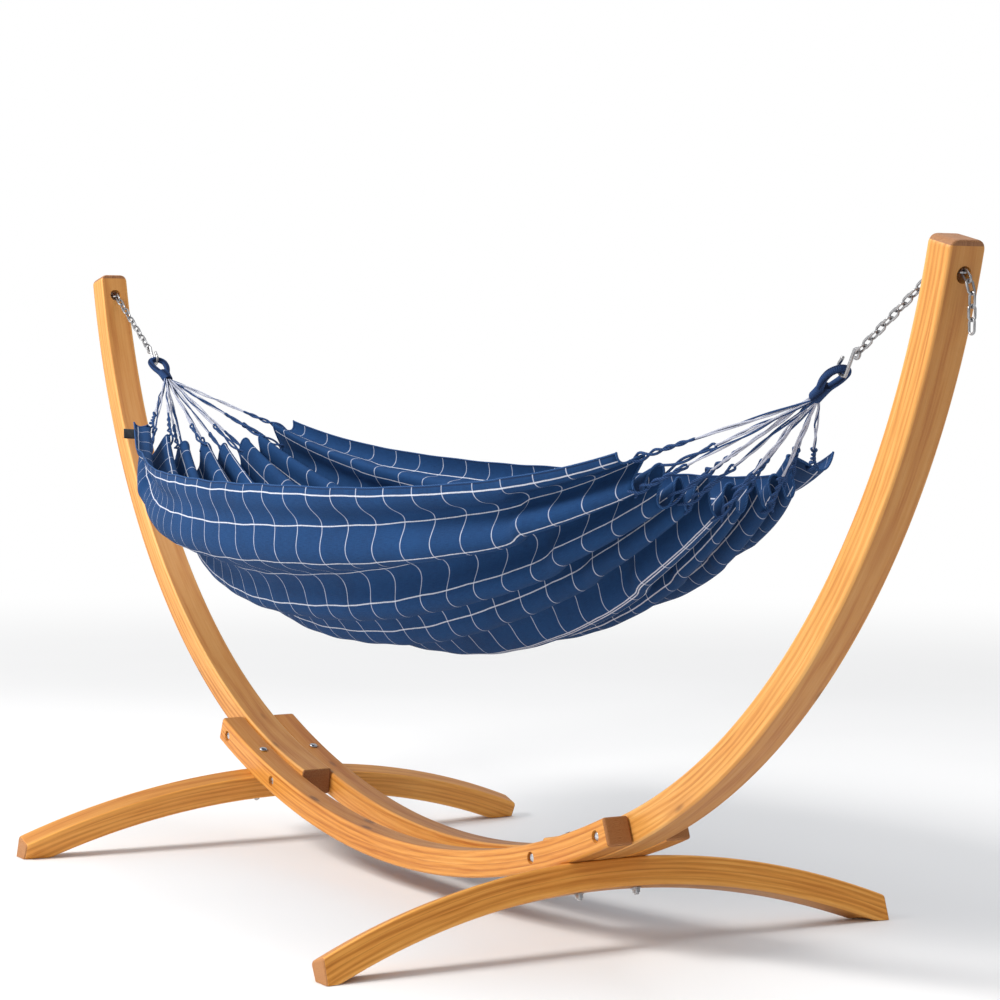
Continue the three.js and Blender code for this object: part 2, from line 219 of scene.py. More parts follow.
def rounded_section(a, b, c, steps=5):
    """Points round a rectangle of half sizes a and b whose corners have radius c."""
    points = []
    for k, (sa, sb) in enumerate(((1, 1), (-1, 1), (-1, -1), (1, -1))):
        for i in range(steps + 1):
            t = math.radians(90 * k + 90 * i / steps)
            points.append((sa * (a - c) + c * math.cos(t), sb * (b - c) + c * math.sin(t)))
    return np.array(points)


def inset(radius, d):
    """How far a corner of this radius has drawn in at a distance d from the end."""
    return 0.0 if d >= radius else radius - math.sqrt(radius**2 - (radius - d) ** 2)


def end_steps(*radii):
    """Distances from an end at which its rounded corners need a section."""
    steps = {0.0}
    for r in radii:
        steps |= {round(r * (1 - math.sin(math.radians(t))), 6) for t in range(0, 90, 12)}
    return sorted(steps)


def carved(piece, cutters, sharp=38):
    """Cuts holes in a piece and keeps its flat faces flat and its rounded edges smooth."""
    for tool in cutters:
        cut = piece.modifiers.new("cut", "BOOLEAN")
        cut.operation, cut.solver, cut.object = "DIFFERENCE", "EXACT", tool
    shape = bpy.context.evaluated_depsgraph_get()
    mesh = bpy.data.meshes.new_from_object(piece.evaluated_get(shape))
    piece.modifiers.clear()
    piece.data = mesh
    for tool in cutters:
        bpy.data.objects.remove(tool)
    mesh.shade_smooth()
    mesh.set_sharp_from_angle(angle=math.radians(sharp))
    weighted = piece.modifiers.new("weighted", "WEIGHTED_NORMAL")
    weighted.keep_sharp = True


def drill(start, end, radius):
    """A round cutter from one point to another."""
    soup = Soup()
    tube(soup, (start, end), radius, 40)
    mesh = bpy.data.meshes.new("drill")
    mesh.from_pydata(np.concatenate(soup.verts).tolist(), [], soup.faces)
    tool = bpy.data.objects.new("drill", mesh)
    in_scene.link(tool)
    return tool


# ---- materials ----
class Graph:
    """A short way to write a node material."""

    def __init__(self, name):
        self.material = bpy.data.materials.new(name)
        self.material.use_nodes = True
        self.nodes, self.links = self.material.node_tree.nodes, self.material.node_tree.links
        self.shader = self.nodes["Principled BSDF"]

    def node(self, kind, out=0, **inputs):
        made = self.nodes.new(kind)
        for key, value in inputs.items():
            if key.startswith("p_"):
                setattr(made, key[2:], value)
        for key, value in inputs.items():
            if not key.startswith("p_"):
                socket = int(key[1:]) if key[1:].isdigit() else key.replace("_", " ")
                self.plug(made.inputs[socket], value)
        return made.outputs[out]

    def plug(self, socket, value):
        if isinstance(value, bpy.types.NodeSocket):
            self.links.new(value, socket)
        else:
            socket.default_value = value

    def math(self, operation, *values):
        made = self.nodes.new("ShaderNodeMath")
        made.operation = operation
        for socket, value in zip(made.inputs, values):
            self.plug(socket, value)
        return made.outputs[0]

    def times(self, a, b):
        return self.math("MULTIPLY", a, b)

    def plus(self, a, b):
        return self.math("ADD", a, b)

    def minus(self, a, b):
        return self.math("SUBTRACT", a, b)

    def vector(self, x, y, z):
        return self.node("ShaderNodeCombineXYZ", i0=x, i1=y, i2=z)

    def split(self, vector):
        made = self.nodes.new("ShaderNodeSeparateXYZ")
        self.links.new(vector, made.inputs[0])
        return made.outputs

    def noise(self, vector, scale=1.0, detail=4.0, roughness=0.5, distortion=0.0):
        return self.node("ShaderNodeTexNoise", i0=vector, Scale=scale, Detail=detail, Roughness=roughness,
                         Distortion=distortion)

    def ramp(self, factor, *stops):
        made = self.nodes.new("ShaderNodeValToRGB")
        self.links.new(factor, made.inputs[0])
        cells = made.color_ramp.elements
        while len(cells) < len(stops):
            cells.new(0.5)
        for cell, (at, color) in zip(cells, stops):
            cell.position = at
            cell.color = (*color, 1.0) if len(color) == 3 else color
        return made.outputs[0]

    def mix(self, factor, a, b, blend="MIX"):
        made = self.nodes.new("ShaderNodeMix")
        made.data_type, made.blend_type = "RGBA", blend
        self.plug(made.inputs[0], factor)
        for socket, value in ((made.inputs[6], a), (made.inputs[7], b)):
            self.plug(socket, value if isinstance(value, bpy.types.NodeSocket) else (*value, 1.0))
        return made.outputs[2]

    def bump(self, height, strength, distance):
        return self.node("ShaderNodeBump", Height=height, Strength=strength, Distance=distance)

    def finish(self, color=None, roughness=None, normal=None, **constants):
        for name, value in (("Base Color", color), ("Roughness", roughness), ("Normal", normal)):
            if value is not None:
                self.plug(self.shader.inputs[name], value)
        for name, value in constants.items():
            self.shader.inputs[name.replace("_", " ")].default_value = value
        return self.material


def smooth_step(g, value, low, high):
    """A soft step from 0 to 1 as the value goes from low to high."""
    return g.node("ShaderNodeMapRange", p_interpolation_type="SMOOTHSTEP", i0=value, i1=low, i2=high)


def wood(name, origin, along, out, radius, deep, wide, tint, seed, end_grain=False):
    """Laminated softwood: its layers and grain follow the bend, a circle round `origin`."""
    g = Graph(name)
    place = g.node("ShaderNodeTexCoord", out=3)
    moved = g.node("ShaderNodeVectorMath", p_operation="SUBTRACT", i0=place, i1=tuple(origin))

    def part(direction):
        return g.node("ShaderNodeVectorMath", out=1, p_operation="DOT_PRODUCT", i0=moved, i1=tuple(direction))

    a, b = part(along), part(out)
    w = part(np.cross(out, along))
    r = g.math("SQRT", g.plus(g.times(a, a), g.times(b, b)))
    s = g.times(g.math("ARCTAN2", a, b), radius)
    h = g.minus(r, radius - deep / 2)
    layer = g.math("FLOOR", g.math("DIVIDE", h, deep / 4))
    luck = g.node("ShaderNodeTexWhiteNoise", p_noise_dimensions="1D", W=g.plus(layer, seed + 0.37))
    shift = g.times(luck, 9.0)
    # broad figure, then fine streaks, then pores, all drawn out along the bend
    drift = g.noise(g.vector(g.times(s, 2.0), g.times(w, 14.0), shift), 1.0, 3.0)
    rings = g.plus(g.times(w, 90.0), g.times(drift, 9.0))
    rings = g.plus(rings, g.times(h, 260.0))
    late = g.math("POWER", g.math("ABSOLUTE", g.math("SINE", g.plus(rings, shift))), 2.2)
    streak = g.noise(g.vector(g.times(s, 7.0), g.times(w, 210.0),
                              g.plus(g.times(h, 210.0), shift)), 1.0, 5.0, 0.6)
    pores = g.noise(g.vector(g.times(s, 45.0), g.times(w, 900.0),
                             g.times(h, 900.0)), 1.0, 3.0, 0.6)
    cloud = g.noise(g.vector(g.times(s, 1.3), g.times(w, 9.0),
                             g.plus(g.times(h, 9.0), seed)), 1.0, 2.0)
    tone = g.plus(g.times(streak, 0.62), g.times(late, 0.24))
    tone = g.plus(tone, g.times(g.minus(luck, 0.5), 0.16))
    tone = g.plus(tone, g.times(g.minus(cloud, 0.5), 0.45))
    color = g.ramp(tone, (0.12, (0.74, 0.40, 0.125)), (0.40, (0.64, 0.295, 0.070)),
                   (0.62, (0.49, 0.185, 0.036)), (0.88, (0.29, 0.088, 0.018)))
    color = g.mix(g.times(smooth_step(g, pores, 0.56, 0.72), 0.22), color, (0.30, 0.12, 0.035))
    # glue lines between the layers
    line = g.math("ABSOLUTE", g.minus(g.math("FRACT", g.math("DIVIDE", h, deep / 4)), 0.5))
    glue = smooth_step(g, line, 0.475, 0.497)
    color = g.mix(g.times(glue, 0.45), color, (0.25, 0.095, 0.03))
    # knots
    knot_place = g.vector(g.times(s, 2.6), g.times(w, 9.0),
                          g.plus(g.times(h, 9.0), seed * 1.7))
    cell = g.node("ShaderNodeTexVoronoi", Vector=knot_place, Scale=1.0)
    knot = g.minus(1.0, smooth_step(g, cell, 0.035, 0.085))
    halo = g.minus(1.0, smooth_step(g, cell, 0.07, 0.22))
    color = g.mix(g.times(halo, 0.30), color, (0.38, 0.15, 0.04))
    color = g.mix(g.times(knot, 0.7), color, (0.12, 0.045, 0.016))
    # edges painted paler: a painted highlight where the rounded edges catch the light
    from_edge = g.minus(wide / 2, g.math("ABSOLUTE", w))
    from_face = g.minus(deep / 2, g.math("ABSOLUTE", g.minus(h, deep / 2)))
    corner = g.math("MAXIMUM", from_edge, from_face)
    edge_highlight = g.minus(1.0, smooth_step(g, corner, 0.001, 0.0075))
    color = g.mix(g.times(edge_highlight, 0.28), color, (0.82, 0.48, 0.18))
    height = g.plus(g.times(streak, 0.6), g.times(pores, 0.4))
    height = g.minus(height, g.times(glue, 0.25))
    roughness = g.node("ShaderNodeMapRange", i0=streak, i1=0.3, i2=0.7, i3=0.36, i4=0.52)
    if end_grain:
        speckle = g.noise(g.vector(g.times(s, 60.0), g.times(w, 500.0),
                                   g.times(h, 500.0)), 1.0, 4.0, 0.7)
        bow = g.times(g.times(w, w), 30.0)
        arcs = g.math("SINE", g.times(g.plus(bow, g.plus(h, shift)), 1900.0))
        shade = g.plus(g.times(arcs, 0.18), speckle)
        sawn = g.ramp(shade, (0.25, (0.42, 0.21, 0.095)), (0.8, (0.22, 0.085, 0.034)))
        color = g.mix(g.times(glue, 0.4), sawn, (0.12, 0.045, 0.02))
        roughness = g.plus(g.times(speckle, 0.2), 0.5)
    # multiplied by the piece's tint: painted light that makes some pieces of the one larch brighter or more
    # orange
    color = g.mix(1.0, color, tint, "MULTIPLY")
    return g.finish(color, roughness, g.bump(height, 0.35, 0.0006), Specular_IOR_Level=0.3, Coat_Weight=0.04,
                    Coat_Roughness=0.3)


def steel(name, tint, low, high, scale):
    """Mottled metal whose roughness wanders between low and high."""
    g = Graph(name)
    place = g.node("ShaderNodeTexCoord", out=3)
    cloud = g.noise(place, scale, 4.0, 0.6)
    fine = g.noise(place, scale * 9, 3.0, 0.6)
    spangle = g.node("ShaderNodeTexVoronoi", Vector=place, Scale=scale * 4)
    mottled = g.plus(g.times(cloud, 0.6), g.times(spangle, 0.4))
    color = g.ramp(mottled, (0.25, tuple(c * 0.72 for c in tint)), (0.7, tint))
    roughness = g.node("ShaderNodeMapRange", i0=cloud, i1=0.3, i2=0.7, i3=low, i4=high)
    return g.finish(color, roughness, g.bump(fine, 0.15, 0.0002), Metallic=1.0)


FLAT_WIDE, FLAT_LONG = 1.5, 2.4
SQUARE, FIRST_LINE, PAIR = 0.080, 0.016, 0.0085
WARP_HALF, WEFT_HALF, LINE_FADE, THREAD = 0.0008, 0.0006, 0.0010, 0.0016
SELVEDGE_IN, SELVEDGE_OUT = 0.0045, 0.003
# whole squares added before the fraction is taken, so that it is never of a negative number
WHOLE_SQUARES = 40 * SQUARE


def cloth_material():
    """Navy plain weave with a fine white window check. UVs are metres on the flat cloth, from its middle."""
    g = Graph("navy_check")
    uv = g.split(g.node("ShaderNodeTexCoord", out=2))
    w, v = uv[0], uv[1]
    wobble = g.times(g.minus(g.noise(g.vector(w, v, 0.0), 22.0, 2.0), 0.5), 0.003)

    def stripe(coordinate, offset, half, fade):
        cell = g.math("DIVIDE", g.plus(g.plus(coordinate, wobble), offset), SQUARE)
        away = g.times(g.math("ABSOLUTE", g.minus(g.math("FRACT", cell), 0.5)), SQUARE)
        return g.minus(1.0, smooth_step(g, away, half, half + fade))

    edge = FLAT_WIDE / 2 - FIRST_LINE
    warp = stripe(w, WHOLE_SQUARES + SQUARE / 2 + edge % SQUARE, WARP_HALF, LINE_FADE)
    weft = stripe(v, WHOLE_SQUARES, WEFT_HALF, LINE_FADE)
    pair = g.math("ABSOLUTE", g.minus(g.math("ABSOLUTE", w), PAIR))
    paired = g.minus(1.0, smooth_step(g, pair, WARP_HALF, WARP_HALF + LINE_FADE))
    warp = g.math("MAXIMUM", warp, paired)
    side = FLAT_WIDE / 2
    selvedge = smooth_step(g, g.math("ABSOLUTE", w), side - SELVEDGE_IN, side - SELVEDGE_OUT)
    threads = 2 * math.pi / THREAD
    over = g.math("SINE", g.times(w, threads))
    under = g.math("SINE", g.times(v, threads))
    weave = g.times(over, under)
    slub = g.noise(g.vector(g.times(w, 900.0), g.times(v, 60.0), 0.0), 1.0, 3.0)
    pick = g.noise(g.vector(g.times(w, 60.0), g.times(v, 900.0), 3.0), 1.0, 3.0)
    cloud = g.noise(g.vector(w, v, 1.0), 6.0, 4.0, 0.6)
    tone = g.plus(g.times(slub, 0.35), g.times(pick, 0.25))
    tone = g.plus(tone, g.plus(g.times(cloud, 0.3), g.times(weave, 0.05)))
    color = g.ramp(tone, (0.25, (0.006, 0.026, 0.080)), (0.65, (0.014, 0.064, 0.190)))
    color = g.mix(g.times(selvedge, 0.8), color, (0.010, 0.026, 0.075))
    broken = g.plus(g.times(smooth_step(g, pick, 0.32, 0.55), 0.5), 0.5)
    color = g.mix(g.times(g.times(weft, 0.75), broken), color, (0.58, 0.62, 0.74))
    color = g.mix(g.times(g.times(warp, 0.85), broken), color, (0.70, 0.72, 0.80))
    height = g.plus(weave, g.times(g.plus(slub, pick), 0.7))
    height = g.plus(height, g.plus(warp, weft))
    return g.finish(color, g.plus(g.times(cloud, 0.15), 0.78), g.bump(height, 0.3, 0.0004),
                    Specular_IOR_Level=0.15)


def cord_material(name, dark, light, lay):
    """Twisted cord: the plies run round the tube, one turn in `lay` metres."""
    g = Graph(name)
    uv = g.split(g.node("ShaderNodeTexCoord", out=2))
    place = g.node("ShaderNodeTexCoord", out=3)
    turn = g.minus(uv[0], g.math("DIVIDE", uv[1], lay))
    ply = g.math("ABSOLUTE", g.math("SINE", g.times(turn, 3 * math.pi)))
    fibre = g.math("SINE", g.times(turn, 2 * math.pi * 14))
    fuzz = g.noise(place, 260.0, 4.0, 0.7)
    # the ply term gives the grooves between the plies the dark colour: painted shade in the creases; the fuzz
    # is the cord's own uneven tone
    tone = g.plus(g.times(ply, 0.6), g.times(fuzz, 0.4))
    color = g.ramp(tone, (0.2, dark), (0.75, light))
    height = g.plus(ply, g.plus(g.times(fibre, 0.15), g.times(fuzz, 0.5)))
    return g.finish(color, 0.85, g.bump(height, 0.4, 0.0008), Specular_IOR_Level=0.15)


ZINC = steel("zinc", (0.40, 0.40, 0.41), 0.26, 0.46, 60.0)
STAINLESS = steel("stainless", (0.62, 0.63, 0.65), 0.22, 0.36, 90.0)
NAVY_CORD = cord_material("navy_cord", (0.006, 0.016, 0.050), (0.030, 0.075, 0.20), 0.016)
WHITE_CORD = cord_material("white_cord", (0.20, 0.22, 0.30), (0.52, 0.54, 0.63), 0.009)
BOUND_CORD = cord_material("bound_cord", (0.004, 0.010, 0.034), (0.018, 0.046, 0.130), 0.5)
CHECK = cloth_material()


# ---- wood ----
def lofted(sections, low_rows, high_rows, inside_out):
    """A solid through its sections. Its caps and rounded ends take the second material."""
    columns = len(sections[0])
    faces, _ = grid_faces(len(sections), columns, False)
    last = (len(sections) - 1) * columns
    caps = [tuple(range(columns))[::-1], tuple(range(last, last + columns))]
    if inside_out:
        faces, caps = [f[::-1] for f in faces], [f[::-1] for f in caps]
    soup = Soup()
    soup.add(np.concatenate(sections), faces + caps)
    for f in range(len(faces)):
        row = f // columns
        if row < low_rows - 3 or row > len(sections) - high_rows + 1:
            soup.slots[f] = 1
    soup.slots[-1] = soup.slots[-2] = 1
    return soup


def beam_place(turn, x, z, radius, off=0.0):
    """The point at an angle on a bend round (x, z), `off` outside its middle line."""
    return np.array((x + (radius + off) * math.sin(turn), 0.0, z - (radius + off) * math.cos(turn)))


def bent_beam(name, shape, x, y, start, end, ends, node, cutters, seed):
    """A bent beam from one angle to the other. `ends` gives each end's corner radii, across and through."""
    radius, deep, wide = shape["radius"], shape["deep"], shape["wide"]
    turns = list(np.linspace(math.radians(start), math.radians(end), 121))
    rings = []
    low, high = [end_steps(*e) for e in ends]
    for d in low:
        rings.append((turns[0] + d / radius, inset(ends[0][0], d), inset(ends[0][1], d)))
    body = [t for t in turns if turns[0] + low[-1] / radius + 1e-4 < t < turns[-1] - high[-1] / radius - 1e-4]
    rings += [(t, 0.0, 0.0) for t in body]
    for d in high[::-1]:
        rings.append((turns[-1] - d / radius, inset(ends[1][0], d), inset(ends[1][1], d)))
    verts = []
    for turn, in_y, in_r in rings:
        corner = CORNER_R if in_r < 0.002 else END_CORNER_R
        section = rounded_section(deep / 2 - in_r, wide / 2 - in_y, corner)
        out = np.array((math.sin(turn), 0.0, -math.cos(turn)))
        centre = np.array((x, y, shape["z"])) + radius * out
        verts.append(centre + section[:, :1] * out + section[:, 1:] * Y)
    soup = lofted(verts, len(low), len(high), True)
    origin = (x, y, shape["z"])
    looks = [wood(f"{name}_{kind}", origin, (1, 0, 0), (0, 0, -1), radius, deep, wide, shape["tint"], seed,
                  kind == "end")
             for kind in ("grain", "end")]
    piece = soup.make(name, looks, "stand", "oiled_larch", (node,))
    carved(piece, cutters)


def foot_frame(side):
    """Where a foot meets the side beams, and the way down through it."""
    turn = math.radians(FOOT["at"])
    seat = beam_place(turn, 0.0, BEAM["z"], BEAM["radius"], BEAM["deep"] / 2 + GAP)
    down = np.array((math.sin(turn), 0.0, -math.cos(turn)))
    return mirror(seat, side), mirror(down, side)


def foot_rows(y):
    """How far the top and the bottom of a foot lie below its seat, at y along it."""
    top, low = FOOT["radius"] + FOOT["deep"] / 2, FOOT["radius"] - FOOT["deep"] / 2
    centre = top - FOOT["crown"]
    return max(0.0, centre - math.sqrt(top**2 - y**2)), centre - math.sqrt(low**2 - y**2)


def foot(name, node, side, seed):
    """An arched foot, drilled for its two bolts."""
    seat, down = foot_frame(side)
    wide_way = unit(np.cross(Y, down))
    half, corner = FOOT["half"], FOOT_END_R
    ends = [half - d for d in end_steps(corner)]
    middle = list(np.linspace(-half + 2 * corner, half - 2 * corner, 150))
    places = [-e for e in ends] + middle + ends[::-1]
    verts = []
    for y in places:
        top, low = foot_rows(y)
        drawn = inset(corner, half - abs(y))
        section = rounded_section((low - top) / 2 - drawn, FOOT["wide"] / 2 - drawn, CORNER_R - 0.3 * drawn)
        along = seat + down * (low + top) / 2 + Y * y
        points = along + section[:, :1] * down + section[:, 1:] * wide_way
        points[:, 2] = np.maximum(points[:, 2], 0.0)
        verts.append(points)
    soup = lofted(verts, len(ends), len(ends), False)
    origin = seat + down * (FOOT["radius"] + FOOT["deep"] / 2 - FOOT["crown"])
    looks = [wood(f"{name}_{kind}", origin, Y, -down, FOOT["radius"], FOOT["deep"], FOOT["wide"],
                  FOOT["tint"], seed, kind == "end") for kind in ("grain", "end")]
    piece = soup.make(name, looks, "stand", "oiled_larch", (node,))
    cutters = [drill(seat + Y * y - down * 0.02, seat + Y * y + down * 0.08, BOLT_HOLE_R)
               for y in (-BEAM_Y, BEAM_Y)]
    carved(piece, cutters)


def cross_bolt_place(turn, side):
    """The middle of a cross bolt, at its angle on the side beams."""
    return mirror(beam_place(math.radians(turn), 0.0, BEAM["z"], BEAM["radius"]), side)


HOLE_TURN = math.radians(HOLE_AT)
OUT = np.array((math.sin(HOLE_TURN), 0.0, -math.cos(HOLE_TURN)))
DOWN_ARM = np.array((-math.cos(HOLE_TURN), 0.0, -math.sin(HOLE_TURN)))
HOLE = np.array((ARM["x"], 0.0, ARM["z"])) + ARM["radius"] * OUT
for side_name, side in SIDES:
    tools = [drill(mirror(HOLE - OUT * CHAIN_HOLE_HALF, side), mirror(HOLE + OUT * CHAIN_HOLE_HALF, side),
                   CHAIN_HOLE_R),
             drill(mirror(HOLE - Y * PIN_HOLE_FRONT, side), mirror(HOLE + Y * PIN_HOLE_BACK, side),
                   PIN_HOLE_R)]
    for turn in CROSS_BOLTS:
        at = cross_bolt_place(turn, side)
        tools.append(drill(at - Y * THROUGH, at + Y * THROUGH, BOLT_HOLE_R))
    angles = (ARM["from"], ARM["to"]) if side > 0 else (-ARM["to"], -ARM["from"])
    bent_beam(f"bent_arm_{side_name}", ARM, side * ARM["x"], 0.0, *angles, ARM_ENDS[:: int(side)],
              f"arm_{side_name}", tools, 3.0 if side > 0 else 11.0)
    foot(f"arched_foot_{side_name}", f"foot_{side_name}", side, 21.0 if side > 0 else 37.0)
for beam_name, face in (("front", -1.0), ("back", 1.0)):
    tools = []
    for side_name, side in SIDES:
        for turn in CROSS_BOLTS:
            at = cross_bolt_place(turn, side)
            tools.append(drill(at, at + Y * face * THROUGH, BOLT_HOLE_R))
            floor_of_sink = Y * face * (BEAM_FACE - SINK_DEEP)
            tools.append(drill(at + floor_of_sink, at + Y * face * (BEAM_FACE + 0.005), SINK_R))
        seat, down = foot_frame(side)
        seat = seat + Y * face * BEAM_Y
        tools.append(drill(seat - down * 0.09, seat + down * 0.02, BOLT_HOLE_R))
    bent_beam(f"bent_side_beam_{beam_name}", BEAM, 0.0, face * BEAM_Y, -BEAM["to"], BEAM["to"],
              BEAM_ENDS, f"side_beam_{beam_name}", tools, 55.0 + 6 * face)


# ---- bolts ----
WASHER_TALL, NUT_TALL, BOLT_END = 0.002, 0.008, 0.004


def bolt(name, node, base, up, long):
    """A domed bolt whose head stands on `base` and whose shank runs back from it."""
    dome = [(0.0095 * math.cos(t), 0.0012 + 0.0038 * math.sin(t)) for t in np.radians(range(0, 86, 12))]
    soup = Soup()
    shank = [(0.0044, -long), (BOLT_R, -long + 0.0008), (BOLT_R, -0.0002), (0.0085, 0.0), (HEAD_R, 0.0004)]
    turned(soup, shank + dome, base, up)
    carved(soup.make(name, [STAINLESS], "stand", "stainless_steel", (node,)), ())


def washer(name, node, base, up):
    soup = Soup()
    section = [(0.0053, 0.0), (0.0106, 0.0), (0.011, 0.0004), (0.011, 0.0016), (0.0106, 0.002),
               (0.0053, 0.002)]
    turned(soup, section, base, up, closed=True)
    carved(soup.make(name, [STAINLESS], "stand", "stainless_steel", (node,)), ())


def nut(name, node, base, up):
    soup = Soup()
    section = [(0.0053, 0.0), (0.0078, 0.0), (-0.009, 0.0012), (-0.009, 0.0066), (0.0078, 0.008),
               (0.0053, 0.008)]
    turned(soup, section, base, up, sides=48, closed=True)
    carved(soup.make(name, [STAINLESS], "stand", "stainless_steel", (node,)), ())


for side_name, side in SIDES:
    for level_name, turn in zip(("upper", "lower"), CROSS_BOLTS):
        at = cross_bolt_place(turn, side)
        sunk = BEAM_FACE - SINK_DEEP + GAP
        tag_name = f"{level_name}_{side_name}"
        long = 2 * sunk + WASHER_TALL + NUT_TALL + GAP
        bolt(f"domed_cross_bolt_{tag_name}", f"cross_bolt_{tag_name}", at - Y * sunk, -Y, long)
        washer(f"flat_cross_washer_{tag_name}", f"cross_washer_{tag_name}", at + Y * sunk, Y)
        nut(f"hex_cross_nut_{tag_name}", f"cross_nut_{tag_name}", at + Y * (sunk + WASHER_TALL + GAP), Y)
    seat, down = foot_frame(side)
    for face_name, face in (("front", -1.0), ("back", 1.0)):
        tag_name = f"{face_name}_{side_name}"
        head = seat - down * (BEAM["deep"] + 4 * GAP) + Y * face * BEAM_Y
        under = seat + down * (foot_rows(BEAM_Y)[1] + 4 * GAP) + Y * face * BEAM_Y
        long = np.linalg.norm(under - head) + WASHER_TALL + NUT_TALL + BOLT_END
        bolt(f"domed_foot_bolt_{tag_name}", f"foot_bolt_{tag_name}", head, -down, long)
        washer(f"flat_foot_washer_{tag_name}", f"foot_washer_{tag_name}", under, down)
        nut(f"hex_foot_nut_{tag_name}", f"foot_nut_{tag_name}", under + down * (WASHER_TALL + GAP), down)

# ---- chains ----
WIRE, BEND, PITCH, BITE = 0.00225, 0.00675, 0.0215, 0.0004
PIN_R = 0.003
WELD_PROUD, WELD_SPREAD = 0.07, 0.02
LIP_PROUD, LIP_LOW = 0.012, 0.006
RUN_LINKS = 12
ALONG = np.array((-math.cos(HANG), 0.0, -math.sin(HANG)))
ABOVE = np.array((-math.sin(HANG), 0.0, math.cos(HANG)))


def link(soup, start, way, standing):
    """One welded link, drawn out along `way`; a standing link lies in the XZ plane."""
    side = unit(np.cross(way, Y)) if standing else Y
    middle = start + way * PITCH / 2
    stretch = PITCH / 2 + WIRE - BEND
    turns = 2 * np.pi * np.arange(48) / 48
    a = BEND * np.cos(turns) + stretch * np.sign(np.round(np.cos(turns), 6))
    b = BEND * np.sin(turns)
    points = middle + a[:, None] * way + b[:, None] * side
    weld = np.exp(-((turns - 1.5 * np.pi) ** 2) / WELD_SPREAD)
    tube(soup, points, WIRE * (1 + WELD_PROUD * weld), 14, closed=True, normal=np.cross(way, side))


def next_start(end, way, next_way, standing, slack):
    """Where the link after this one starts, hooked through its end."""
    if standing:
        return end - way * (WIRE + slack) + next_way * WIRE
    return end + way * WIRE - next_way * (WIRE + slack)


def chain(start, ways, first_standing):
    """Links in a row, one for each of the ways, every other one standing."""
    soup, at, end = Soup(), start, start
    for i, way in enumerate(ways):
        standing = first_standing == (i % 2 == 0)
        link(soup, at, way, standing)
        end = at + way * PITCH
        at = next_start(end, way, ways[i + 1] if i + 1 < len(ways) else way, standing, -BITE)
    return soup, end


def bent(way, degrees):
    """A direction in the XZ plane, turned downward."""
    c, s = math.cos(math.radians(degrees)), math.sin(math.radians(degrees))
    return np.array((c * way[0] + s * way[2], 0.0, -s * way[0] + c * way[2]))


LIP = HOLE - OUT * (ARM["deep"] / 2 + LIP_PROUD) + DOWN_ARM * LIP_LOW
IN_HOLE = unit(LIP - HOLE)
ANCHOR_START = HOLE - IN_HOLE * (PIN_R + GAP + 2 * WIRE + PITCH + BITE)
DROP = np.array((0.0, 0.0, -1.0))
TAIL_WAYS = [bent(OUT, 30), bent(OUT, 55), DROP, DROP, DROP]
anchor, ANCHOR_END = chain(ANCHOR_START, [IN_HOLE] * 3, False)
tail, _ = chain(next_start(ANCHOR_START, -IN_HOLE, TAIL_WAYS[0], False, GAP), TAIL_WAYS, True)
run, RUN_END = chain(next_start(ANCHOR_END, IN_HOLE, ALONG, False, GAP), [ALONG] * RUN_LINKS, True)
HOOK_AT = RUN_END - ALONG * GAP


def on_line(a, b=0.0, y=0.0):
    """A point on the line from the chain's end to the cloth: millimetres along it, above it and across it."""
    return HOOK_AT + ALONG * a * MM + ABOVE * b * MM + Y * y * MM


def through(points, steps=8):
    """A smooth line through points (Catmull-Rom)."""
    p = np.asarray(points, float)
    p = np.concatenate([[2 * p[0] - p[1]], p, [2 * p[-1] - p[-2]]])
    line = []
    for k in range(1, len(p) - 2):
        for t in np.arange(steps) / steps:
            line.append(0.5 * (2 * p[k] + (p[k + 1] - p[k - 1]) * t
                               + (2 * p[k - 1] - 5 * p[k] + 4 * p[k + 1] - p[k + 2]) * t**2
                               + (3 * p[k] - p[k - 1] - 3 * p[k + 1] + p[k + 2]) * t**3))
    return np.array(line + [p[-2]])


# the S-hook: the middle and radius of its small bend and its large one, and its tip
SMALL_AT, SMALL_R, LARGE_AT, LARGE_R, HOOK_TIP, HOOK_WIRE = 4.5, 8, 50, 14, (42, 16), 0.0035
hook = Soup()
hook_line = [on_line(SMALL_AT - SMALL_R * math.cos(t), SMALL_R * math.sin(t))
             for t in np.radians(range(-140, 121, 20))]
hook_line += [on_line(LARGE_AT + LARGE_R * math.cos(t), LARGE_R * math.sin(t))
              for t in np.radians(range(-90, 91, 18))]
hook_line.append(on_line(*HOOK_TIP))
tube(hook, through(hook_line), HOOK_WIRE, 20, round_ends=True)

# ---- eyes: rope bound with cord, closed by a bound neck ----
LOOP_TOP, LOOP_R = 72.7, 20.0
ROPE_R, WRAP_TALL, WRAP_LAY, NECK_WRAP_LAY = 0.0068, 0.0007, 0.0031, 3.0
NECK_AT = (109, 114, 122, 136, 148, 150)
loop_half = [(LOOP_TOP - LOOP_R * math.cos(t), LOOP_R * math.sin(t)) for t in np.radians(range(0, 91, 10))]
loop_half += [(84, 19.6), (95, 17.2), (106, 13.2), (116, 9.4), (127, 7.0), (138, 6.2)]
loop_line = [(a, -y) for a, y in loop_half[:0:-1]] + loop_half
eye_line = through([on_line(a, 0.0, y) for a, y in loop_line], 22)
eye = Soup()
eye_steps = np.concatenate([[0.0], np.cumsum(np.linalg.norm(np.diff(eye_line, axis=0), axis=1))])
eye_turn = 2 * np.pi * np.arange(18) / 18
wraps = np.abs(np.sin(np.pi * eye_steps[:, None] / WRAP_LAY + eye_turn[None, :] / 2))
tube(eye, eye_line, ROPE_R + WRAP_TALL * wraps, 18, normal=ABOVE)
neck_a = np.linspace(NECK_AT[0], NECK_AT[-1], 140)
neck_turn = 2 * np.pi * np.arange(36) / 36
neck_points = np.array([on_line(a) for a in neck_a])
neck_wide = np.interp(neck_a, NECK_AT, (15.5, 17.5, 15.0, 13.2, 12.6, 11.0)) * MM
